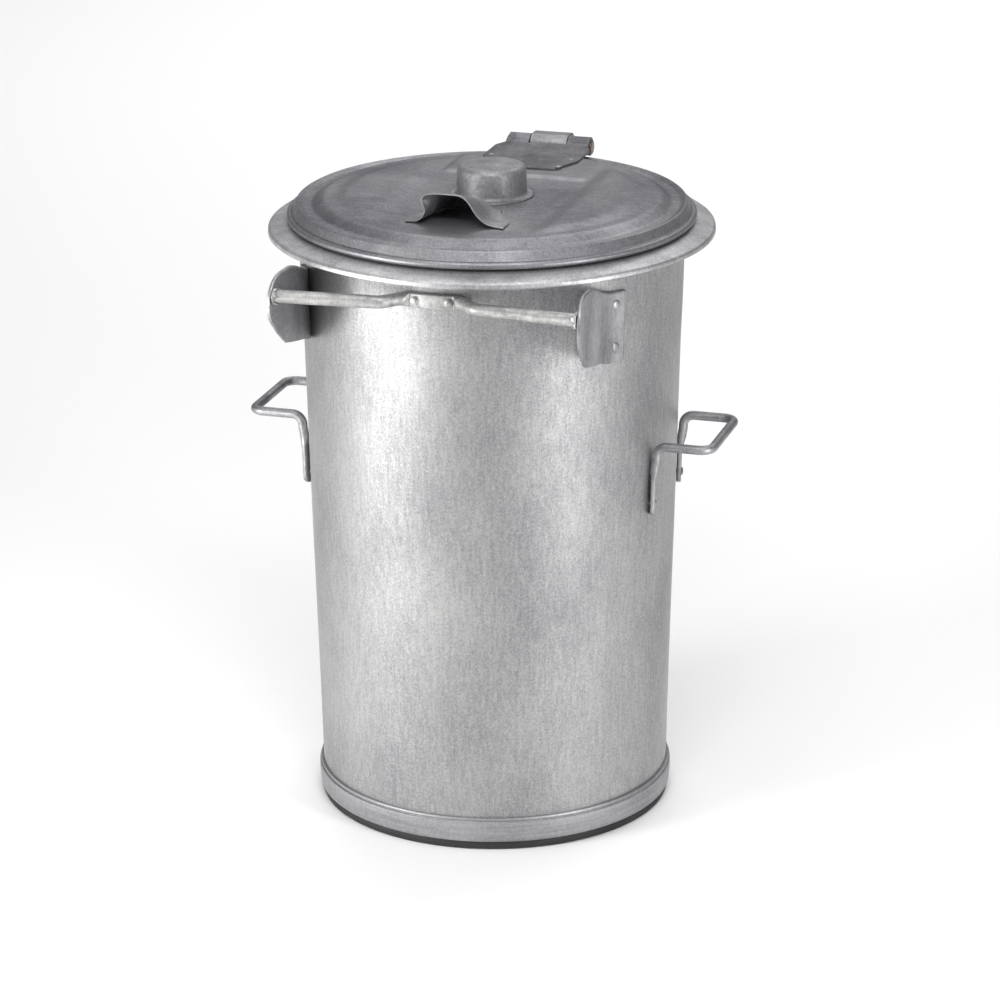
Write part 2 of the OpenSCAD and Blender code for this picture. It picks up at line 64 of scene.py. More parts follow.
def rounded(corners, radius, closed=False, steps=6):
    """A line through the corners with each corner turned into an arc of its radius.
    The arc's centre lies radius / sin(half the inner angle) from the corner along the bisector, and its
    points are its two end spokes blended by sines. An open line keeps its two end points."""
    p = np.asarray(corners, float)
    r = np.broadcast_to(np.asarray(radius, float), (len(p),))[:, None]
    u, v = unit(np.roll(p, 1, 0) - p), unit(np.roll(p, -1, 0) - p)
    half = np.arccos(np.clip((u * v).sum(1, keepdims=True), -0.99999, 0.99999)) / 2
    middle = p + unit(u + v) * r / np.sin(half)
    spoke_a, spoke_b = p + u * r / np.tan(half) - middle, p + v * r / np.tan(half) - middle
    t, turn = np.linspace(0, 1, steps + 1)[None, :, None], (np.pi - 2 * half)[:, None]
    arcs = middle[:, None] + (np.sin((1 - t) * turn) * spoke_a[:, None]
                              + np.sin(t * turn) * spoke_b[:, None]) / np.sin(turn)
    if closed:
        return arcs.reshape(-1, p.shape[1])
    return np.vstack([p[:1], arcs[1:-1].reshape(-1, p.shape[1]), p[-1:]])


def spaced(path, step):
    """The same line with points added so that none are more than a step apart along it."""
    along = np.r_[0, np.cumsum(np.linalg.norm(np.diff(path, axis=0), axis=1))]
    keep = np.r_[True, np.diff(along) > 1e-6]
    path, along = path[keep], along[keep]
    at = np.unique(np.round(np.r_[along, np.linspace(0, along[-1], int(along[-1] / step) + 2)], 4))
    return np.stack([np.interp(at, along, path[:, k]) for k in range(path.shape[1])], -1)


def waves(points, size, seed, count=9):
    """Smooth unevenness, mostly from -1 to 1: 1.7 times the mean of plane sine waves with seeded directions
    and starts, each with 0.6 to 1.6 waves in that size."""
    rng = np.random.default_rng(seed)
    ways = unit(rng.normal(size=(count, 3))) * rng.uniform(0.6, 1.6, (count, 1)) * 2 * np.pi / size
    return np.sin(points @ ways.T + rng.uniform(0, 2 * np.pi, count)).mean(-1) * 1.7


def turned(section, around=360):
    """Rings of a shape turned round the Z axis: (r, z) of the section becomes r sin a, -r cos a, z."""
    a = np.linspace(0, 2 * np.pi, around, endpoint=False)
    r, z = section[:, :1], section[:, 1:]
    return np.stack([r * np.sin(a), -r * np.cos(a), z + 0 * a], -1)


def ring_skin(rings, joined=False):
    """Quads between neighbouring rings of points. Joined, the last ring meets the first; otherwise each end
    ring is closed by triangles to its own middle."""
    n, m = rings.shape[:2]
    i, j = np.arange(n if joined else n - 1)[:, None] * m, np.arange(m)
    up, on = (i + m) % (n * m), (j + 1) % m
    quads = np.stack([i + j, i + on, up + on, up + j], -1).reshape(-1, 4)
    if joined:
        return rings.reshape(-1, 3), quads, np.empty((0, 3), int)
    top = (n - 1) * m
    first = np.stack([n * m + 0 * j, on, j], -1)
    last = np.stack([n * m + 1 + 0 * j, top + j, top + on], -1)
    points = np.vstack([rings.reshape(-1, 3), rings[0].mean(0), rings[-1].mean(0)])
    return points, quads, np.vstack([first, last])


def piece(name, body, finish, shells, stands_for, crease=35):
    """Puts closed shells, in millimetres, into one mesh in metres that rides on its body.
    A shell whose signed volume is below zero has its faces turned, so that all faces look outward. Edges
    that turn by more than 'crease' degrees are shaded as sharp."""
    points, corners, sizes, start = [], [], [], 0
    for verts, quads, tris in shells:
        fans = np.vstack([quads[:, [0, 1, 2]], quads[:, [0, 2, 3]], tris])
        a, b, c = (verts[fans[:, k]] for k in range(3))
        way = 1 if (a * np.cross(b, c)).sum() > 0 else -1
        points.append(verts)
        corners += [(quads[:, ::way] + start).ravel(), (tris[:, ::way] + start).ravel()]
        sizes += [np.full(len(quads), 4), np.full(len(tris), 3)]
        start += len(verts)
    points, corners, sizes = np.vstack(points), np.concatenate(corners), np.concatenate(sizes)
    mesh = bpy.data.meshes.new(name)
    mesh.vertices.add(len(points))
    mesh.vertices.foreach_set("co", (points / 1000).astype(np.float32).ravel())
    mesh.loops.add(len(corners))
    mesh.loops.foreach_set("vertex_index", corners.astype(np.int32))
    mesh.polygons.add(len(sizes))
    mesh.polygons.foreach_set("loop_start", np.r_[0, np.cumsum(sizes)[:-1]].astype(np.int32))
    mesh.polygons.foreach_set("loop_total", sizes.astype(np.int32))
    mesh.update(calc_edges=True)
    mesh.validate()
    mesh.polygons.foreach_set("use_smooth", np.ones(len(sizes), bool))
    mesh.set_sharp_from_angle(angle=np.radians(crease))
    made = bpy.data.objects.new(name, mesh)
    bpy.context.scene.collection.objects.link(made)
    mesh.materials.append(finish)
    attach(made, body)
    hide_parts(*stands_for)


SPECKS = 850.0                              # fine specks of zinc, per metre
CONTRAST, DARK_AT, LIGHT_AT = 1.8, 0.12, 0.88
SHINE = -0.16                               # light zinc is smoother than dark


def zinc(name, light, dark, cloud, grain, weights, mottle=260.0, rough=0.5, metal=0.9, bump=0.5, bump_mm=0.3):
    """Hot-dip zinc from four fields of noise, each about 0.5: clouds, drawn-out streaks, a soft mottle and fine
    specks. What each is above 0.5, times its weight and the contrast, is added to 0.5. That value mixes the
    dark and the light tone, and what it is above 0.5, times SHINE, is added to the roughness. The bump's
    height is 0.4 specks + 0.7 mottle + 0.35 streaks. Clouds, mottle and grain are counted per metre."""
    made = bpy.data.materials.new(name)
    made.use_nodes = True
    tree = made.node_tree
    shader = tree.nodes["Principled BSDF"]
    place = tree.nodes.new("ShaderNodeTexCoord")

    def noise(scale, stretch, detail):
        spread = tree.nodes.new("ShaderNodeMapping")
        spread.inputs["Scale"].default_value = stretch
        tree.links.new(place.outputs["Object"], spread.inputs["Vector"])
        field = tree.nodes.new("ShaderNodeTexNoise")
        field.inputs["Scale"].default_value = scale
        field.inputs["Detail"].default_value = detail
        tree.links.new(spread.outputs["Vector"], field.inputs["Vector"])
        return field.outputs["Fac"]

    def maths(way, a, b):
        node = tree.nodes.new("ShaderNodeMath")
        node.operation = way
        for value, socket in ((a, node.inputs[0]), (b, node.inputs[1])):
            if isinstance(value, (int, float)):
                socket.default_value = value
            else:
                tree.links.new(value, socket)
        return node.outputs[0]

    clouds, streaks = noise(cloud, (1, 1, 0.6), 6.0), noise(1.0, grain, 3.0)
    flecks, specks = noise(mottle, (1, 1, 0.8), 3.0), noise(SPECKS, (1, 1, 1), 2.0)
    value = 0.5
    for share, field in zip(weights, (clouds, streaks, flecks, specks)):
        value = maths("ADD", maths("MULTIPLY", maths("SUBTRACT", field, 0.5), share * CONTRAST), value)
    tones = tree.nodes.new("ShaderNodeValToRGB")
    for end, tone, at in ((0, dark, DARK_AT), (1, light, LIGHT_AT)):
        tones.color_ramp.elements[end].color = (*tone, 1)
        tones.color_ramp.elements[end].position = at
    tree.links.new(value, tones.inputs["Fac"])
    tree.links.new(tones.outputs["Color"], shader.inputs["Base Color"])
    tree.links.new(maths("ADD", maths("MULTIPLY", maths("SUBTRACT", value, 0.5), SHINE), rough),
                   shader.inputs["Roughness"])
    raised = tree.nodes.new("ShaderNodeBump")
    raised.inputs["Strength"].default_value = bump
    raised.inputs["Distance"].default_value = bump_mm / 1000
    heights = maths("ADD", maths("MULTIPLY", specks, 0.4), maths("MULTIPLY", flecks, 0.7))
    tree.links.new(maths("ADD", heights, maths("MULTIPLY", streaks, 0.35)), raised.inputs["Height"])
    tree.links.new(raised.outputs["Normal"], shader.inputs["Normal"])
    shader.inputs["Metallic"].default_value = metal
    return made


HEM_T, HEM_Z = 3.0, 725.0                   # the folded hem is two sheets thick, down to this height
SEAM_UP, SEAM_HALF, SEAM_R = 0.7, 3.2, 225.0
UNEVEN = 0.45                               # the rolled sheet's unevenness, only ever inward

wall_zinc = zinc("zinc_of_the_wall", (0.47, 0.47, 0.465), (0.25, 0.248, 0.26), 9, (260, 260, 45),
                 (0.55, 0.35, 0.45, 0.65), mottle=400, rough=0.52, metal=0.92, bump=0.6)
wall_line = [(WALL_FOOT_R, WALL_FOOT), (WALL_TOP_R, WALL_TOP), (WALL_TOP_R - HEM_T, WALL_TOP),
             (wall_r(HEM_Z) - HEM_T, HEM_Z), (wall_r(HEM_Z) - WALL_T - 0.05, HEM_Z),
             (WALL_FOOT_R - WALL_T, WALL_FOOT)]
wall_line = spaced(rounded(wall_line, [0.3, 1.2, 1.2, 0.4, 0.2, 0.3], closed=True, steps=3), 9)
wall_rings = turned(wall_line, 480)
# The seam stands up as a low rounded ridge between the hoop and the flange.
wall_z = wall_rings[..., 2]
from_seam = (np.arctan2(wall_rings[..., 0], -wall_rings[..., 1]) - WALL_SEAM) * SEAM_R
stands = SEAM_UP * np.exp(-(from_seam / SEAM_HALF) ** 2) * ease((wall_z - 44) / 8) * ease((698 - wall_z) / 8)
free = ease((wall_z - 60) / 90) * ease((640 - wall_z) / 60)
sinks = UNEVEN * free * (1 + waves(wall_rings * [1, 1, 0.5], 170, 3))
wall_rings = wall_rings + unit(wall_rings * [1, 1, 0]) * (stands - sinks)[..., None]
piece("can_wall", "can", wall_zinc, [ring_skin(wall_rings, True)], ["body_shell"])

# ---- Floor and base ----
# The floor is a pressed sheet with a shallow ring in it, turned down inside the wall and soldered tight by
# the zinc. A heavy steel hoop round the foot takes the knocks, and a black rubber ring under it stands on the
# ground; its black is also painted shade, standing in for the dark gap under the hoop.

FLOOR_Z, FLOOR_T, FLOOR_LOW, FLOOR_GAP = 32.5, 1.8, 15.5, 0.2
RIB_R, RIB_UP = (118, 124, 134, 140), 3     # the pressed ring's slopes start and end here; its height
HOOP_FOOT, HOOP_SHELF, HOOP_TOP = 10.4, 13.4, 40.4
HOOP_R, HOOP_IN, SOLDER = 217.5, 202.5, 0.1
RUBBER_R, RUBBER_W, RUBBER_H = 214.0, 11.0, 10.3


def beside(path, t):
    """The path moved by t to its own right."""
    way = unit(np.gradient(path, axis=0))
    return path + t * np.stack([way[:, 1], -way[:, 0]], -1)


def sheet_line(path, t):
    """Section of a bent sheet: the path, and the same path moved by t to its right, back to the start."""
    return np.vstack([path, beside(path, t)[::-1]])


floor_line = [(0.5, FLOOR_Z), (RIB_R[0], FLOOR_Z), (RIB_R[1], FLOOR_Z + RIB_UP),
              (RIB_R[2], FLOOR_Z + RIB_UP), (RIB_R[3], FLOOR_Z), (wall_r(24) - WALL_T - FLOOR_GAP, FLOOR_Z),
              (wall_r(FLOOR_LOW) - WALL_T - FLOOR_GAP, FLOOR_LOW)]
floor_line = spaced(rounded(floor_line, [1, 5, 5, 5, 5, 8, 1]), 12)
piece("floor_sheet", "can", wall_zinc,
      [ring_skin(turned(sheet_line(floor_line, FLOOR_T), 240))], ["floor_pan"])

hoop_zinc = zinc("zinc_of_the_hoop", (0.44, 0.436, 0.445), (0.25, 0.246, 0.26), 9, (9, 9, 300),
                 (0.5, 0.45, 0.35, 0.45), rough=0.52, metal=0.88, bump=0.3)
hoop_line = [(HOOP_IN, HOOP_FOOT), (HOOP_R - 1.2, HOOP_FOOT), (HOOP_R - 0.7, 18), (HOOP_R, 27),
             (HOOP_R - 0.4, 35.2), (HOOP_R - 2.6, 36.4), (HOOP_R - 1.7, 38.2), (HOOP_R - 2.3, HOOP_TOP),
             (wall_r(HOOP_TOP) + SOLDER, HOOP_TOP), (wall_r(WALL_FOOT) + SOLDER, HOOP_SHELF),
             (HOOP_IN, HOOP_SHELF)]
hoop_line = spaced(rounded(hoop_line, [0.5, 1.6, 8, 8, 0.9, 0.5, 0.6, 0.6, 0.2, 0.3, 0.5],
                           closed=True, steps=4), 3)
piece("base_hoop_band", "can", hoop_zinc,
      [ring_skin(turned(hoop_line, 420), True)], ["base_hoop"], crease=28)

# Rubber's own near-black, and also painted shade: the ring stands in for the dark gap under the hoop.
rubber_and_painted_shade = zinc("rubber_and_painted_gap_shade_of_the_ring", (0.024, 0.023, 0.024), (0.010, 0.010, 0.011), 22,
                    (30, 30, 300), (0.8, 0.4, 0.2, 0.5), rough=0.62, metal=0.0, bump=0.4)
rubber_line = rounded([(RUBBER_R - RUBBER_W, 0), (RUBBER_R - 0.4, 0), (RUBBER_R, 5.5),
                       (RUBBER_R - 0.7, RUBBER_H), (RUBBER_R - RUBBER_W, RUBBER_H)],
                      [1.2, 1.8, 6, 1.0, 1.0], closed=True, steps=4)
piece("foot_ring_of_rubber_and_painted_shade", "can", rubber_and_painted_shade,
      [ring_skin(turned(rubber_line), True)], ["foot_ring"])

# ---- Rim flange ----
# A spun collar: its neck grips the wall, its top slopes outward to shed rain, and its edge is rolled down into
# a stiff lip. Made of 1.6 mm sheet, pushed over the wall before the can is dipped.

FLANGE_R, FLANGE_T, FLANGE_TOP, SLOPE_END = 266.5, 1.6, 726.9, 719.1
LIP_Z, NECK_Z = 713.0, 701.0
LIP_SAG, LIP_PUSH = 0.35, 0.3               # how far years of the lid falling shut have moved the lip

flange_line = spaced(rounded([(wall_r(NECK_Z) + SOLDER, NECK_Z), (wall_r(726) + SOLDER, FLANGE_TOP),
                              (FLANGE_R - 0.4, SLOPE_END), (FLANGE_R, LIP_Z)], [1, 5.5, 4.2, 1]), 4)
flange_rings = turned(sheet_line(flange_line, FLANGE_T), 420)
worn = ease((np.hypot(flange_rings[..., 0], flange_rings[..., 1]) - 240) / 20)
flange_rings = flange_rings - [0, 0, LIP_SAG] * (worn * (1 + waves(flange_rings, 120, 8)))[..., None]
pushed = LIP_PUSH * worn * (1 + waves(flange_rings, 150, 9))
flange_rings = flange_rings - unit(flange_rings * [1, 1, 0]) * pushed[..., None]
flange_zinc = zinc("zinc_of_the_flange", (0.68, 0.68, 0.685), (0.33, 0.325, 0.34), 14, (60, 60, 160),
                   (0.85, 0.3, 0.4, 0.5), metal=0.85, bump=0.4)
piece("rim_flange_collar", "can", flange_zinc,
      [ring_skin(flange_rings, True)], ["rim_flange"], crease=50)

# ---- Lift bar ----
# A 15.5 mm round bar that the lorry's hooks catch. Its middle is forged flat into a plate and riveted to the
# wall, its arms swing clear of it, and its ends are welded to the wings. The zinc on it is thick and rough.

BAR_Z, BAR_R, BAR_END_X, BAR_END_Y = 686.0, 7.75, 180.8, -262.5
PLATE_X, PLATE_H, PLATE_T, GAP = 29.0, 17.0, 8.0, 0.15       # the forged plate, and a gap to the wall
ARM_X, ARM_Y, ARM_OUT, ARM_RUN = 54.0, -252.9, 9.55, 124.0   # where an arm starts, and its slant forward
BAR_LUMPS = 0.009


def swept(path, wide, high, square, towards, turn=0.0, around=28):
    """A bar along the path. Its section is a superellipse: cosine and sine of the angle round it, each raised
    to 2 / square, times half its width and height; square 2 is round and 6 is nearly a flat bar.
    The height lies across the path's direction and 'towards', turned by 'turn' about the path."""
    way = unit(np.gradient(path, axis=0))
    side = unit(np.cross(way, np.broadcast_to(towards, way.shape)))
    rise = np.cross(side, way)
    turn = np.broadcast_to(turn, len(path))[:, None]
    side, rise = side * np.cos(turn) + rise * np.sin(turn), rise * np.cos(turn) - side * np.sin(turn)
    a = np.linspace(0, 2 * np.pi, around, endpoint=False)
    power = 2 / np.broadcast_to(square, len(path))[:, None]
    across = np.sign(np.cos(a)) * np.abs(np.cos(a)) ** power * np.broadcast_to(wide, len(path))[:, None]
    above = np.sign(np.sin(a)) * np.abs(np.sin(a)) ** power * np.broadcast_to(high, len(path))[:, None]
    return path[:, None] + across[..., None] * side[:, None] + above[..., None] * rise[:, None]


# The middle follows the wall and the arms are straight. Where the two are blended, the bar bulges a little.
x = np.linspace(-BAR_END_X, BAR_END_X, 261)
aside = np.abs(x)
flat_r = wall_r(BAR_Z) + GAP + PLATE_T / 2
plate_y = -np.sqrt(flat_r ** 2 - np.minimum(aside, 40) ** 2)
arm_y = ARM_Y - (aside - ARM_X) * ARM_OUT / ARM_RUN
blend = ease((aside - 25) / 36)
bar_y = plate_y * (1 - blend) + arm_y * blend - 1.5 * np.exp(-((aside - 36) / 8) ** 2)
bar_path = np.stack([x, bar_y, BAR_Z + 1.2 * np.exp(-((aside - 38) / 9) ** 2)], -1)
round_off = ease((aside - PLATE_X + 3) / 10)
bar_rings = swept(bar_path, PLATE_H / 2 + (BAR_R - PLATE_H / 2) * round_off,
                  PLATE_T / 2 + (BAR_R - PLATE_T / 2) * round_off, 7 - 5 * round_off, (0, -1, 0), around=36)
bar_mid = bar_path[:, None]
swells = 1 + BAR_LUMPS * (waves(bar_rings, 26, 5) - 1.0) * round_off[:, None]
bar_rings = bar_mid + (bar_rings - bar_mid) * swells[..., None]
bar_zinc = zinc("rough_zinc_of_the_bar", (0.56, 0.557, 0.55), (0.27, 0.266, 0.265), 26, (25, 260, 260),
                (0.8, 0.5, 0.5, 0.6), mottle=180, metal=0.85, bump=0.6, bump_mm=0.4)
piece("lift_bar_forging", "can", bar_zinc, [ring_skin(bar_rings)], ["lift_bar"], crease=45)


def rivets(places, outs, head_r, head_h, shank_r, stack, around=28):
    """One closed shell for each place. The head is a low crown with a rim that stands on a pressed-up collar;
    the shank goes down by the stack to a flat shop head. Rings of (r, height) are turned about each 'out'."""
    line = rounded([(0.05, head_h), (head_r * 0.45, head_h * 0.97), (head_r * 0.93, head_h * 0.55),
                    (head_r, 0.25), (head_r + 0.5, 0.3), (head_r + 2.3, 0.02), (shank_r, 0),
                    (shank_r, -stack), (shank_r * 1.5, -stack), (shank_r * 1.5, -stack - 1.5),
                    (0.05, -stack - 1.5)],
                   [0, 3, 1.1, 0.1, 0.2, 0.3, 0.1, 0.1, 0.1, 0.5, 0], steps=3)
    flat = turned(line, around)
    shells = []
    for place, out in zip(np.atleast_2d(places), unit(np.atleast_2d(outs).astype(float))):
        side = unit(np.cross(out, (0.3, 0.2, 1.0) if abs(out[2]) < 0.9 else (1.0, 0.1, 0)))
        shells.append(ring_skin(place + flat @ np.stack([side, np.cross(out, side), out])))
    return shells


def on_wall(a, z, out=0.0):
    """Points at angle a and height z, 'out' away from the wall's face, and the face's outward direction."""
    a, z = np.broadcast_arrays(np.asarray(a, float), np.asarray(z, float))
    lean = (WALL_TOP_R - WALL_FOOT_R) / (WALL_TOP - WALL_FOOT)
    face = unit(np.stack([np.sin(a), -np.cos(a), np.full_like(a, -lean)], -1))
    return np.stack([wall_r(z) * np.sin(a), -wall_r(z) * np.cos(a), z], -1) + out * face, face


BAR_RIVET_X, SHANK_MORE = 20.0, 0.4         # a shank is this much longer than the sheets it joins
bar_rivet_a = np.arcsin(BAR_RIVET_X / wall_r(BAR_Z)) * np.array([-1, 1])
spots, outs = on_wall(bar_rivet_a, BAR_Z, PLATE_T + GAP)
piece("bar_rivet_heads", "can", bar_zinc,
      rivets(spots, outs, 5.5, 2.6, 3.2, PLATE_T + WALL_T + SHANK_MORE), ["bar_rivets"])

# ---- Wings ----
# Two plates of 4 mm steel with rounded corners. Each hugs the wall where two rivets hold it, bends forward,
# and carries an end of the lift bar in a hand-laid weld.

WING_T, WING_X, WING_TIP = 4.0, 178.0, 273.2
WING_FOOT_A, WING_BEND_A, WING_BEND_Y, WING_BEND_R, WING_MID_Z = 58.1, 55.5, -144.9, 54.0, 646.0
TIP_Z, TIP_R = 675.0, 33.4                  # middle and radius of the round front
WING_FLARE, FLARE_Y = 4.5, 225.0            # how far the tip bends outward, and where that begins
UPPER_Z, UPPER_DROP = 708.4, 24.4           # the upper edge behind the round front, and its fall to the wall
LOWER_EDGE = np.array([(6.1, 655.8), (24, 637.0), (43, 621.6), (74, 614.5), (102, 609), (132, 600)])
WING_RIVET_A, WING_RIVET_Z = np.radians(54.68), [670.0, 619.0]
WELD_X, WELD_FAT = 2.9, 2.9


def plate(grid, t, rim=0.35):
    """Thickens an open sheet of points by t / 2 to each side along its own normals, from the cross product of
    its two directions, and closes it with a rim that stands out by rim * t, so the cut edge looks dressed."""
    along, across = np.gradient(grid, axis=0), np.gradient(grid, axis=1)
    normal = unit(np.cross(along, across))
    n, m = grid.shape[:2]
    edge = np.r_[np.arange(m), np.arange(1, n) * m + m - 1, (n - 1) * m + np.arange(m - 2, -1, -1),
                 np.arange(n - 2, 0, -1) * m]
    out = np.zeros_like(grid)
    out[0], out[-1] = -unit(along[0]), unit(along[-1])
    out[:, 0], out[:, -1] = -unit(across[:, 0]), unit(across[:, -1])
    flat, nrm, out = grid.reshape(-1, 3), normal.reshape(-1, 3), out.reshape(-1, 3)
    upper, lower = flat + nrm * t / 2, flat - nrm * t / 2
    mids = [flat[edge] + out[edge] * rim * t + nrm[edge] * h for h in (t * 0.28, -t * 0.28)]
    i, j = np.arange(n - 1)[:, None] * m, np.arange(m - 1)
    q = np.stack([i + j, i + j + 1, i + j + 1 + m, i + j + m], -1).reshape(-1, 4)
    k = np.arange(len(edge))
    on = (k + 1) % len(edge)
    base = 2 * n * m
    bands = [edge, base + k, base + len(edge) + k, n * m + edge]
    rims = [np.stack([a[on], a, b, b[on]], -1) for a, b in zip(bands[:-1], bands[1:])]
    return np.vstack([upper, lower, *mids]), np.vstack([q, q[:, ::-1] + n * m, *rims]), np.empty((0, 3), int)


# The plate's line seen from above: round the wall, a soft bend, and straight forward to the tip.
wing_mid_x = WING_X + WING_T / 2
foot_a = np.radians(np.linspace(WING_FOOT_A, WING_BEND_A, 8))
foot_mid = wall_r(WING_MID_Z) + GAP + WING_T / 2
foot_line = np.stack([foot_mid * np.sin(foot_a), -foot_mid * np.cos(foot_a)], -1)
bend_line = rounded([foot_line[-1], (wing_mid_x, WING_BEND_Y), (wing_mid_x, -WING_TIP)],
                    [1, WING_BEND_R, 1], steps=16)
wing_line = spaced(np.vstack([foot_line[:-1], bend_line]), 5)
wing_line = wing_line[WING_TIP + wing_line[:, 1] > TIP_R]
tip_a = np.linspace(0, np.pi / 2, 26)[:-1]
tip_y = TIP_R - WING_TIP - TIP_R * np.sin(tip_a)
wing_line = np.vstack([wing_line, np.stack([np.full_like(tip_y, wing_mid_x), tip_y], -1)])
# Heights of its two edges against the distance behind the tip: the round front, then the straight slopes.
behind = WING_TIP + wing_line[:, 1]
bow = np.sqrt(np.clip(TIP_R ** 2 - (TIP_R - np.clip(behind, 0, TIP_R)) ** 2, 0.3, None))
wing_top = np.where(behind < TIP_R, TIP_Z + bow, UPPER_Z - UPPER_DROP * ease((behind - 50) / 95))
wing_low = np.where(behind < LOWER_EDGE[0, 0], TIP_Z - bow, np.interp(behind, *LOWER_EDGE.T))
wing_z = wing_low[:, None] + (wing_top - wing_low)[:, None] * np.linspace(0, 1, 34)
# Where it hugs the wall it leans with it, and its tip is bent outward.
lean = ease((behind - 90) / 40)[:, None] * (wall_r(wing_z) - wall_r(WING_MID_Z))
leaned = wing_line[:, None] + lean[..., None] * unit(wing_line)[:, None]
wing_grid = np.concatenate([leaned, wing_z[..., None]], -1)
flare = np.clip((-wing_grid[..., 1] - FLARE_Y) / (WING_TIP - FLARE_Y), 0, 1) ** 1.5
wing_grid[..., 0] += WING_FLARE * flare
fittings_zinc = zinc("zinc_of_the_fittings", (0.48, 0.475, 0.485), (0.25, 0.245, 0.26), 18, (130, 130, 50),
                     (0.85, 0.3, 0.4, 0.5), bump=0.45)
for side, name in ((1, "right_wing"), (-1, "left_wing")):
    piece(name + "_plate", "can", fittings_zinc,
          [plate(wing_grid * [side, 1, 1], WING_T, 0.2)], [name], crease=50)

# The welds: a ring of overlapping lumps round each bar end, its radius and height moved by waves.
weld_angle = np.linspace(0, 2 * np.pi, 56, endpoint=False)
weld_ring = np.linspace(0, 2 * np.pi, 14, endpoint=False)
welds = []
for side in (1, -1):
    fat = WELD_FAT + 0.8 * np.sin(5 * weld_angle + side) + 0.8 * np.sin(3 * weld_angle)
    fat = (fat + 0.4 * np.sin(11 * weld_angle))[:, None]
    ring_r = BAR_R + 0.5 + 0.4 * fat * (1 + np.cos(weld_ring)) * (0.75 - 0.25 * np.sin(weld_ring))
    welds.append(ring_skin(np.stack([side * (WING_X + WELD_X - 0.75 * fat * (1 + np.sin(weld_ring))),
                                     BAR_END_Y + ring_r * np.cos(weld_angle)[:, None],
                                     BAR_Z + ring_r * np.sin(weld_angle)[:, None]], -1), True))
piece("bar_weld_beads", "can", bar_zinc, welds, ["bar_welds"])
spots, outs = on_wall(WING_RIVET_A * np.repeat([1, -1], 2), np.tile(WING_RIVET_Z, 2), WING_T + GAP)
piece("wing_rivet_heads", "can", fittings_zinc,
      rivets(spots, outs, 5.5, 2.4, 3.2, WING_T + WALL_T + SHANK_MORE), ["wing_rivets"])

# ---- Side handles ----
# Each is a bail of 11 mm round rod, bent cold. Its feet are hammered flat and riveted to the wall, its legs
# turn outward in a tight bend, and its grip has two rounded corners.

ROD_R, HANDLE_Z, HANDLE_X, LEG_X, LEG_Y = 5.5, 478.0, 286.2, 221.0, 64.0
LEG_A = 16.16                               # degrees round the wall from the handle's middle to a foot
FOOT_LOW, FOOT_BEND, FOOT_LEVEL, FOOT_T = 393.0, 436.0, 3.15, 6.0
HANDLE_RIVET_Z = [445.0, 406.0]

foot_line, _ = on_wall(np.radians(90 - LEG_A), [FOOT_LOW, FOOT_BEND], FOOT_LEVEL)
half_bail = rounded([*foot_line, (LEG_X, -LEG_Y, 462), (LEG_X, -LEG_Y, HANDLE_Z),
                     (HANDLE_X, -LEG_Y, HANDLE_Z), (HANDLE_X, 0, HANDLE_Z)], [1, 20, 20, 13, 15, 1], steps=14)
half_bail = spaced(half_bail, 3.5)
bail = np.vstack([half_bail[:-1], (half_bail * [1, -1, 1])[::-1]])
flat_part = ease((452 - bail[:, 2]) / 16)
end_round = np.clip((bail[:, 2] - FOOT_LOW + 0.6) / 8, 0, 1)
end_round = np.sqrt(np.clip(1 - (1 - end_round) ** 2, 0.01, 1))
bail_turn = np.radians(LEG_A) * ease((470 - bail[:, 2]) / 10) * np.sign(bail[:, 1])
bail_rings = swept(bail, (ROD_R + 2.4 * flat_part) * end_round, ROD_R - 2.6 * flat_part, 2 + 2.4 * flat_part,
                   (-1, 0, 1), turn=bail_turn)
handle_zinc = zinc("zinc_of_the_handles", (0.42, 0.415, 0.425), (0.21, 0.206, 0.22), 30, (130, 130, 130),
                   (0.85, 0.3, 0.4, 0.6), rough=0.54)
for side, name in ((1, "right_handle"), (-1, "left_handle")):
    piece(name + "_bail", "can", handle_zinc,
          [ring_skin(bail_rings * [side, 1, 1])], [name], crease=60)
foot_a = np.radians([90 - LEG_A, 90 + LEG_A])
spots, outs = on_wall(np.tile(np.r_[foot_a, -foot_a], 2), np.repeat(HANDLE_RIVET_Z, 4), FOOT_T + 0.1)
piece("handle_rivet_heads", "can", handle_zinc,
      rivets(spots, outs, 5.0, 2.4, 2.8, FOOT_T + WALL_T + SHANK_MORE), ["handle_rivets"])

# ---- Hinge strap on the can ----
# A 4 mm strap, riveted to the wall at the back. It swings out round the flange, bends over and is welded to
# the middle knuckle, a bored steel barrel that the pin turns in.

HINGE_Y, HINGE_Z, KNUCKLE_R, PIN_R, PIN_PLAY = 250.0, 752.967, 13.0, 6.0, 0.06
STRAP_T, STRAP_HALF, STRAP_LOW, STRAP_HIGH, STRAP_MID_Z = 4.0, 23.7, 617.0, 675.0, 646.0
STRAP_GAP, STRAP_OUT = 0.12, 272.0          # its gap to the wall, and how far back it swings
STRAP_RIVET_X, STRAP_RIVET_Z = 14.0, [661.0, 629.0]


def turned_on_x(section, around=96):
    """Rings of a shape turned round the hinge's axis: (r, x) of the section becomes x, r cos a, r sin a."""
    a = np.linspace(0, 2 * np.pi, around, endpoint=False)
    r, x = section[:, :1], section[:, 1:]
    return np.stack([x + 0 * a, HINGE_Y + r * np.cos(a), HINGE_Z + r * np.sin(a)], -1)


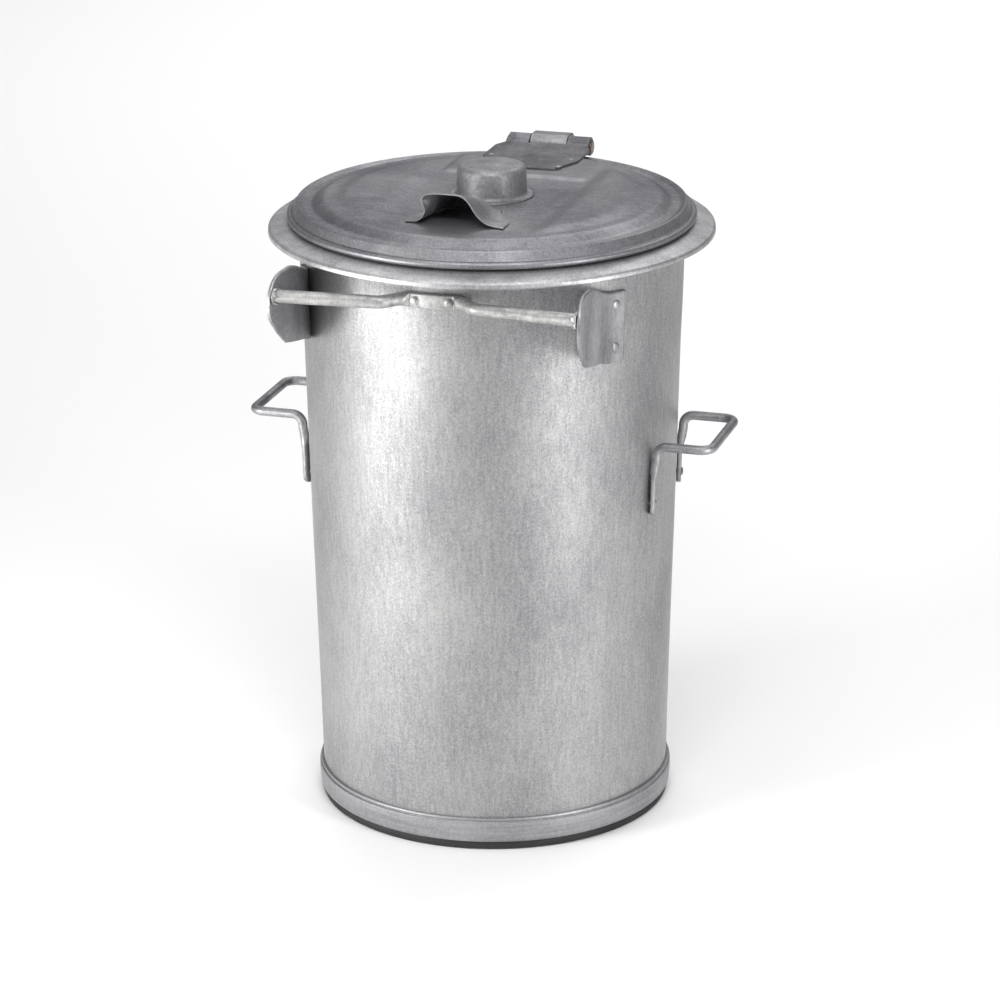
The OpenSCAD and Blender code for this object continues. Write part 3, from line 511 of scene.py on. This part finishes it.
strap_mid = wall_r(STRAP_MID_Z) + STRAP_GAP + STRAP_T / 2
over_z = HINGE_Z + KNUCKLE_R - STRAP_T / 2
strap_line = [(strap_mid - 0.75, STRAP_LOW), (wall_r(STRAP_HIGH) + STRAP_GAP + STRAP_T / 2, 674),
              (STRAP_OUT, 702), (STRAP_OUT, over_z), (HINGE_Y + 2, over_z)]
strap_line = spaced(rounded(strap_line, [1, 12, 18, 9, 1], steps=10), 4)
x = np.linspace(-STRAP_HALF, STRAP_HALF, 15)
hugs = (1 - ease((strap_line[:, 1] - 670) / 40))[:, None]
strap_y = strap_line[:, :1] - hugs * (strap_mid - np.sqrt(strap_mid ** 2 - x ** 2))
strap_grid = np.stack([x + 0 * hugs, strap_y, strap_line[:, 1:] + 0 * x], -1)
barrel_line = rounded([(PIN_R + PIN_PLAY, -STRAP_HALF), (KNUCKLE_R, -STRAP_HALF), (KNUCKLE_R, STRAP_HALF),
                       (PIN_R + PIN_PLAY, STRAP_HALF)], [0.5, 1.0, 1.0, 0.5], closed=True)
piece("hinge_strap_and_barrel", "can", fittings_zinc,
      [plate(strap_grid, STRAP_T, 0.15), ring_skin(turned_on_x(barrel_line), True)], ["hinge_bracket"],
      crease=45)
strap_a = np.pi + np.array([1, -1]) * STRAP_RIVET_X / wall_r(STRAP_MID_Z)
spots, outs = on_wall(np.tile(strap_a, 2), np.repeat(STRAP_RIVET_Z, 2), STRAP_T + GAP)
piece("bracket_rivet_heads", "can", fittings_zinc,
      rivets(spots, outs, 5.5, 2.6, 3.2, STRAP_T + WALL_T + SHANK_MORE), ["bracket_rivets"])

# ---- The lid's sheet ----
# One disc of 1.2 mm steel, pressed in a single die: a border with its edge rolled round a wire, a low ring
# that drains, and a flat middle with a raised panel at each side and a raised seat for the hinge at the back.

LID_Z, LID_T, RING_Z, RIDGE_Z = 752.467, 1.2, 743.27, 746.6
BEAD_MID, BEAD_Z, BEAD_R = 239.5, 731.67, 4.2
PANEL_EDGE, PANEL_R, PANEL_UP, SEAT_UP = 102.0, 180.0, 4.5, 2.5
SPRING = 0.45                               # how unevenly the flat middle has sprung back
BORDER_WAVE = 0.25


def pressed(x, y):
    """Height pressed into the flat middle: each raised field is the product of two or three eased slopes, one
    for each of its edges, so its corners come out soft. A broad low wave, always downward, stands for the
    sheet's springing back, and two shallow dents are bell curves; both end at the seat, grip and boss."""
    r = np.hypot(x, y)
    panels = PANEL_UP * ease((np.abs(x) - PANEL_EDGE + 12) / 26) * ease((PANEL_R + 10 - r) / 22)
    seat = SEAT_UP * ease((y - 85) / 9) * ease((93 - np.abs(x)) / 9) * ease((202 - r) / 8)
    spring = SPRING * (waves(np.stack([x, y, 0 * x], -1), 130, 21) - 1) * ease((198 - r) / 30)
    dents = (-1.3 * np.exp(-(((x + 128) / 16) ** 2 + ((y + 62) / 11) ** 2))
             - 0.9 * np.exp(-(((x - 55) / 20) ** 2 + ((y + 150) / 14) ** 2)))
    return (panels + seat + (spring + dents) * (1 - ease((y - 60) / 30))
            * ease((np.hypot(x, y + 112) - 62) / 15) * ease((r - 50) / 12))


lid_top = rounded([(0.6, LID_Z), (201, LID_Z), (213.5, RING_Z + 1.0), (223.5, RING_Z + 0.6),
                   (231.6, RIDGE_Z + 1.2), (237.6, BEAD_Z + 3.4)], [1, 16, 9, 6, 2.2, 1], steps=6)
lid_top = spaced(lid_top, 3.6)
bead_a = np.radians(np.linspace(80, -252, 30))
bead_line = np.stack([BEAD_MID + BEAD_R * np.cos(bead_a), BEAD_Z + BEAD_R * np.sin(bead_a)], -1)
lid_under = beside(lid_top, LID_T)
lid_under = lid_under[np.hypot(*(lid_under - [BEAD_MID, BEAD_Z]).T) > BEAD_R + 0.4]
lid_rings = turned(np.vstack([lid_top, bead_line, lid_under[::-1]]), 420)
from_axis = np.hypot(lid_rings[..., 0], lid_rings[..., 1])
lid_rings[..., 2] += pressed(lid_rings[..., 0], lid_rings[..., 1]) * ease((212 - from_axis) / 12)
lid_rings[..., 2] += BORDER_WAVE * ease((from_axis - 214) / 8) * (waves(lid_rings, 140, 31) + 0.2)
lid_zinc = zinc("zinc_of_the_lid", (0.37, 0.368, 0.386), (0.165, 0.162, 0.178), 10, (60, 110, 90),
                (0.8, 0.25, 0.4, 0.6), mottle=300, metal=0.8)
piece("lid_sheet", "lid", lid_zinc,
      [ring_skin(lid_rings)], ["lid_shell", "lid_edge_wire"], crease=50)

# ---- The lid's boss ----
# A deep-drawn cup of 1.5 mm sheet with a slightly crowned top. Its foot turns outward and is welded to the lid.

BOSS_R, BOSS_TOP, BOSS_FOOT_R, PRESS_T = 41.5, 790.95, 48.5, 1.5
boss_line = spaced(rounded([(BOSS_FOOT_R, LID_Z + 1.7), (BOSS_R + 0.4, LID_Z + 1.9),
                            (BOSS_R - 0.5, BOSS_TOP - 1.6), (0.6, BOSS_TOP)], [1, 4.5, 7, 1], steps=10), 2.5)
boss_rings = turned(np.vstack([boss_line[::-1], beside(boss_line, -PRESS_T)]), 192)
boss_zinc = zinc("zinc_of_the_boss", (0.42, 0.418, 0.435), (0.20, 0.197, 0.21), 20, (90, 90, 60),
                 (0.85, 0.3, 0.4, 0.5), rough=0.58, metal=0.75)
piece("lid_boss_cup", "lid", boss_zinc, [ring_skin(boss_rings)], ["lid_boss"], crease=50)

weld_angle = np.linspace(0, 2 * np.pi, 260, endpoint=False)
fat = 1.25 + 0.2 * np.sin(41 * weld_angle) + 0.18 * np.sin(17 * weld_angle + 1)
fat = fat + 0.12 * np.sin(5 * weld_angle)
weld_r = BOSS_FOOT_R + 1.0 + fat[:, None] * np.cos(weld_ring)
weld_z = LID_Z + 0.75 + 0.8 * fat[:, None] * np.sin(weld_ring)
weld_rings = np.stack([weld_r * np.sin(weld_angle)[:, None], -weld_r * np.cos(weld_angle)[:, None], weld_z], -1)
piece("boss_weld_bead", "lid", lid_zinc, [ring_skin(weld_rings, True)], ["boss_weld"], crease=60)

# ---- The lid's grip ----
# A pressed hood, open to the front for the fingers, with a flared foot at each side that is riveted down. Its
# roof falls toward the boss, and the cut edge of the mouth is turned up into a thin lip.

GRIP_FRONT, GRIP_BACK, GRIP_H, FOOT_HALF, FLANK = -152.0, -76.0, 38.0, 59.0, 29.0
ROOF_FALL, ROOF_ASIDE, FEET_IN = 24.0, 9.0, 24.0    # the roof's fall and lean, the feet's narrowing
LIP_LEFT, LIP_RIGHT, HAT = -8.5, 2.0, 6
GRIP_RIVETS = ((48, -142), (42, -108))

# Across, the hood is 1 / (1 + |x / flank| to the power HAT), with its points spread evenly along that curve.
u = np.linspace(-1, 1, 2001)
curve_z = GRIP_H / (1 + np.abs(u * FOOT_HALF / FLANK) ** HAT)
along = np.r_[0, np.cumsum(np.hypot(np.diff(u * FOOT_HALF), np.diff(curve_z)))]
u = np.interp(np.linspace(0, along[-1], 121), along, u)
back = np.linspace(0, 1, 46)[:, None] ** 0.9
tall = GRIP_H - ROOF_FALL * back ** 1.15
tall = tall * np.sqrt(np.clip(1 - np.clip((back - 0.84) / 0.16, 0, 1) ** 2.4, 0.0, 1)) + 0.2
grip_x = u * (FOOT_HALF - FEET_IN * ease((back - 0.25) / 0.75))
hat = 1 / (1 + np.abs(grip_x / (FLANK - 6.5 * back)) ** HAT)
grip_z = LID_Z + 0.1 + PRESS_T / 2 + (tall - PRESS_T) * hat
lip = np.exp(-(back / 0.10) ** 2) * ease((hat - 0.35) / 0.5)
lip_out = lip * np.where(u < 0, LIP_LEFT, LIP_RIGHT) * ease((np.abs(grip_x) - 8) / 16)
grip_x = grip_x - ROOF_ASIDE * hat * (1 - back) ** 0.7 + lip_out
grip_y = (GRIP_FRONT + (GRIP_BACK - GRIP_FRONT) * back + 2.6 * ease((np.abs(u) - 0.55) / 0.4) * (1 - back)
          - 1.2 * hat * (1 - back) + 1.2)
grip_zinc = zinc("zinc_of_the_grip", (0.42, 0.418, 0.435), (0.20, 0.197, 0.21), 24, (90, 90, 40),
                 (0.85, 0.3, 0.4, 0.5), mottle=300, rough=0.52, metal=0.78)
piece("lid_grip_hood", "lid", grip_zinc,
      [plate(np.stack([grip_x, grip_y, grip_z], -1), PRESS_T, 0.3)], ["lid_grip"], crease=60)
grip_spots = np.array([(side * spot_x, spot_y, LID_Z + 0.1 + PRESS_T + 0.05)
                       for side in (-1, 1) for spot_x, spot_y in GRIP_RIVETS])
piece("grip_rivet_heads", "lid", grip_zinc,
      rivets(grip_spots, np.tile([0, 0, 1], (4, 1)), 4.2, 1.5, 2.0, 3.1, 20), ["grip_rivets"])

# ---- Hinge leaf on the lid ----
# A 3 mm plate, its front corners cut off, riveted to the lid's seat with five rivets. Its back edge is cut into
# two tongues that are rolled twice round the pin, one at each side of the can's barrel.

LEAF_Z, LEAF_T, LEAF_FRONT, LEAF_BACK = 756.6, 3.0, 118.0, 232.5
LEAF_EDGE = np.array([(118, 40), (119, 42.5), (158, 59), (162, 60), (214, 60), (234, 52.4)])
CURL_START, CURL_END, CURL_IN = 150, -470, 3.2      # degrees; a turn of the tongue goes in by this much
TONGUE_NEAR, TONGUE_FAR = 24.6, 51.9
LEAF_RIVETS = np.array([(0, 125), (45, 127), (-45, 127), (51, 163), (-51, 163)], float)

leaf_y = LEAF_FRONT + (LEAF_BACK - LEAF_FRONT) * np.linspace(0, 1, 60)[:, None]
leaf_half = np.interp(leaf_y, *LEAF_EDGE.T)
s = np.linspace(-1, 1, 81)
leaf_z = LEAF_Z + 0 * s + 0.5 * ease((leaf_y - 205) / 25) * np.cos(s * 3.0)
shells = [plate(np.stack([s * leaf_half, leaf_y + 0 * s, leaf_z], -1), LEAF_T, 0.2)]
# A tongue's line: up from the plate, over the top, and inward as a spiral.
curl = np.radians(np.linspace(CURL_START, CURL_END, 110))
curl_r = KNUCKLE_R - LEAF_T / 2 - CURL_IN * np.clip((np.radians(CURL_START) - curl) / (2 * np.pi), 0, 1.1)
curl_line = np.stack([HINGE_Y + curl_r * np.cos(curl), HINGE_Z + curl_r * np.sin(curl)], -1)
tongue = np.vstack([rounded([(LEAF_BACK - 8, LEAF_Z + 0.3), (HINGE_Y - 14.5, LEAF_Z + 0.4), curl_line[0]],
                            [1, 7, 1]), curl_line[1:]])
for side in (-1, 1):
    x = side * np.linspace(TONGUE_NEAR, TONGUE_FAR, 9)
    tongue_grid = np.stack([x + 0 * tongue[:, :1], tongue[:, :1] + 0 * x, tongue[:, 1:] + 0 * x], -1)
    shells.append(plate(tongue_grid, LEAF_T, 0.1))
leaf_zinc = zinc("zinc_of_the_hinge", (0.28, 0.278, 0.292), (0.125, 0.12, 0.132), 26, (110, 40, 60),
                 (0.9, 0.4, 0.35, 0.5), mottle=220, metal=0.8)
piece("hinge_leaf_plate", "lid", leaf_zinc, shells, ["hinge_leaf"], crease=45)
leaf_spots = np.column_stack([LEAF_RIVETS, np.full(5, LEAF_Z + LEAF_T / 2 + 0.03)])
piece("leaf_rivet_heads", "lid", grip_zinc,
      rivets(leaf_spots, np.tile([0, 0, 1], (5, 1)), 4.2, 1.5, 2.0, 4.6, 20), ["leaf_rivets"])

# ---- Hinge pin ----
# A 12 mm steel pin, its zinc worn off and gone brown. It has an upset head at one end, and a collar on its
# turned-down tail at the other.

PIN_HALF, HEAD_R, TAIL_R = 52.0, PIN_R + 2.9, PIN_R - 2
TAIL_END, COLLAR_END = -PIN_HALF - 5, -PIN_HALF - 2.95
COLLAR_IN, COLLAR_R = PIN_R - 1.97, PIN_R + 3
pin_steel = zinc("worn_steel_of_the_pin", (0.30, 0.22, 0.17), (0.10, 0.075, 0.06), 60, (60, 300, 300),
                 (0.9, 0.5, 0.2, 0.6), rough=0.36, metal=0.85)
pin_line = rounded([(0.2, PIN_HALF + 2.5), (HEAD_R, PIN_HALF + 2.3), (HEAD_R, PIN_HALF + 0.15),
                    (PIN_R, PIN_HALF + 0.1), (PIN_R, -PIN_HALF - 0.25), (TAIL_R, -PIN_HALF - 0.3),
                    (TAIL_R, TAIL_END), (0.2, TAIL_END)], [1, 1.4, 0.4, 0.05, 0.3, 0.1, 0.8, 1])
piece("hinge_pin_headed", "lid", pin_steel,
      [ring_skin(turned_on_x(pin_line, 64))], ["hinge_pin"], crease=40)
collar_line = rounded([(COLLAR_IN, -PIN_HALF - 0.4), (COLLAR_R, -PIN_HALF - 0.4), (COLLAR_R, -PIN_HALF - 2.2),
                       (COLLAR_R - 1, COLLAR_END), (COLLAR_IN, COLLAR_END)],
                      [0.3, 0.4, 0.5, 0.5, 0.3], closed=True)
piece("hinge_pin_collar", "lid", pin_steel,
      [ring_skin(turned_on_x(collar_line, 64), True)], ["pin_collar"], crease=40)

# ---- Camera, light and floor ----
# A long lens looks down at the front, 17 degrees to the right. Soft boxes stand at the left, the right and the
# front, one hangs overhead, and two behind light the far floor, one of them unseen in reflections. The floor
# is a round of pale paper.

CAMERA_TURN, CAMERA_AWAY, CAMERA_ASIDE, CAMERA_UP = np.radians(17), 4.6, 0.00787, 1.966
CAMERA_TILT, CAMERA_ROLL = np.radians(70.85), np.radians(-0.3)
scene = bpy.context.scene
lens = bpy.data.cameras.new("camera")
lens.lens, lens.sensor_width, lens.clip_end = 144.0, 36.0, 60.0
camera = bpy.data.objects.new("camera", lens)
scene.collection.objects.link(camera)
turn_sin, turn_cos = np.sin(CAMERA_TURN), np.cos(CAMERA_TURN)
camera.location = (CAMERA_AWAY * turn_sin + CAMERA_ASIDE * turn_cos,
                   -CAMERA_AWAY * turn_cos + CAMERA_ASIDE * turn_sin, CAMERA_UP)
camera.rotation_euler = (Matrix.Rotation(CAMERA_TURN, 3, "Z") @ Matrix.Rotation(CAMERA_TILT, 3, "X")
                         @ Matrix.Rotation(CAMERA_ROLL, 3, "Z")).to_euler()
scene.camera = camera


def soft_box(name, azimuth, height, distance, wide, tall, watts, aim=(0, 0, 0.4), colour=(1, 1, 1)):
    """A rectangular lamp at that azimuth from the front, turned to face the aim and hidden from the camera."""
    lamp = bpy.data.lights.new(name, "AREA")
    lamp.shape, lamp.size, lamp.size_y, lamp.energy, lamp.color = "RECTANGLE", wide, tall, watts, colour
    made = bpy.data.objects.new(name, lamp)
    scene.collection.objects.link(made)
    made.location = (distance * np.sin(np.radians(azimuth)), -distance * np.cos(np.radians(azimuth)), height)
    made.rotation_euler = (Vector(aim) - made.location).to_track_quat("-Z", "Y").to_euler()
    made.visible_camera = False
    return made


soft_box("left_box", -43, 0.58, 1.8, 0.6, 0.84, 29, colour=(1.0, 0.995, 0.98))
soft_box("right_box", 60, 0.6, 1.8, 0.3, 0.88, 15)
soft_box("front_box", 17, 3.2, 2.4, 1.8, 0.7, 45, aim=(0, 0, 0.75))
soft_box("top_box", 0, 4.2, 0.6, 3.4, 3.4, 62)
for name, watts, reflected in (("back_box", 190, True), ("far_floor_box", 210, False)):
    lamp = soft_box(name, 180, 5.0, 4.5, 6.0, 4.0, watts, aim=(0, 5.5, 0))
    lamp.visible_glossy = reflected

world = bpy.data.worlds.new("pale_room")
scene.world = world
world.use_nodes = True
world.node_tree.nodes["Background"].inputs["Color"].default_value = (0.93, 0.94, 1.0, 1)
world.node_tree.nodes["Background"].inputs["Strength"].default_value = 0.13
scene.view_settings.view_transform = "Standard"

GROUND_R, GROUND_Z = 14, -0.0004
ground = bpy.data.meshes.new("ground")
ring_a = np.linspace(0, 2 * np.pi, 96, endpoint=False)
ground_ring = np.stack([GROUND_R * np.cos(ring_a), GROUND_R * np.sin(ring_a), 0 * ring_a + GROUND_Z], -1)
ground.from_pydata(ground_ring.tolist(), [], [list(range(len(ground_ring)))])
floor = bpy.data.objects.new("ground", ground)
scene.collection.objects.link(floor)
paper = bpy.data.materials.new("pale_paper")
paper.use_nodes = True
paper.node_tree.nodes["Principled BSDF"].inputs["Base Color"].default_value = (0.86, 0.86, 0.86, 1)
paper.node_tree.nodes["Principled BSDF"].inputs["Roughness"].default_value = 0.9
ground.materials.append(paper)
